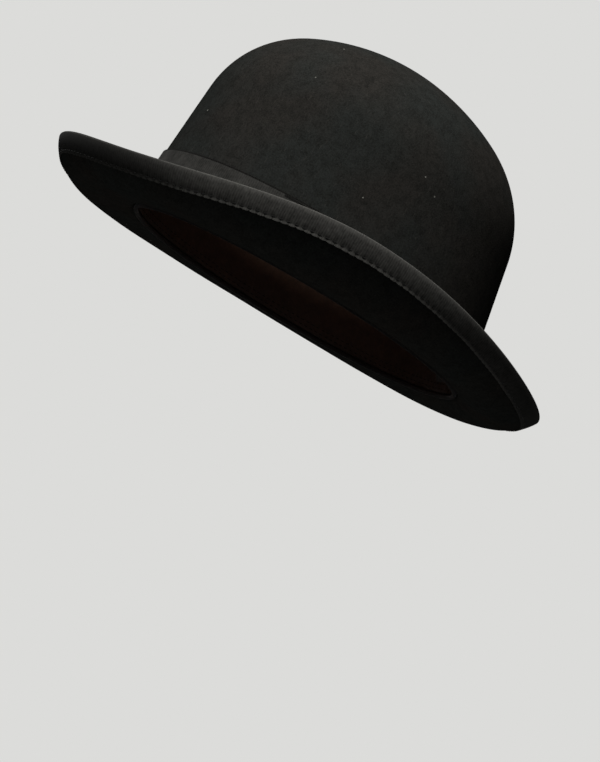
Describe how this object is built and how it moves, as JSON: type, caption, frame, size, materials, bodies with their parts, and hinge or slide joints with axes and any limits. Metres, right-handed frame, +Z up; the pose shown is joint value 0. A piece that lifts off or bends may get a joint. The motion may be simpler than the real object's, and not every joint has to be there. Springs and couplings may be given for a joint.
{
  "type": "bowler hat",
  "caption": "Stiff black felt hat with a round crown, a rolled brim bound in ribbon, a hat band with a flat side bow, and a leather sweatband and lining inside.",
  "frame": {"origin": "on the surface that the hat stands on, under the middle of the brim's length and width", "axes": "+Z up through the crown, +Y to the back of the hat, -Y to its front, +X to the wearer's left, where the bow is"},
  "size_m": [0.2402, 0.3061, 0.1473],
  "materials": {
    "felt": "matte fulled wool felt with a fine nap",
    "binding_ribbon": "fine-ribbed grosgrain with a soft sheen",
    "band_ribbon": "fine-ribbed grosgrain with a soft sheen",
    "leather": "smooth dark brown leather, half gloss",
    "tape": "plain woven cotton tape",
    "reed": "plain",
    "inner_ribbon": "narrow ribbed ribbon",
    "satin": "smooth satin"
  },
  "bodies": {
    "root": {"felt_body": "felt", "brim_binding": "binding_ribbon", "hat_band": "band_ribbon", "bow_front_loop": "band_ribbon", "bow_back_loop": "band_ribbon", "bow_knot": "band_ribbon", "sweatband": "leather", "sweatband_join_tape": "tape", "sweatband_reed": "reed", "reed_tape": "tape", "sweatband_bow": "inner_ribbon", "lining_side": "satin", "lining_tip": "satin", "tip_piping": "satin"}
  },
  "joints": []
}
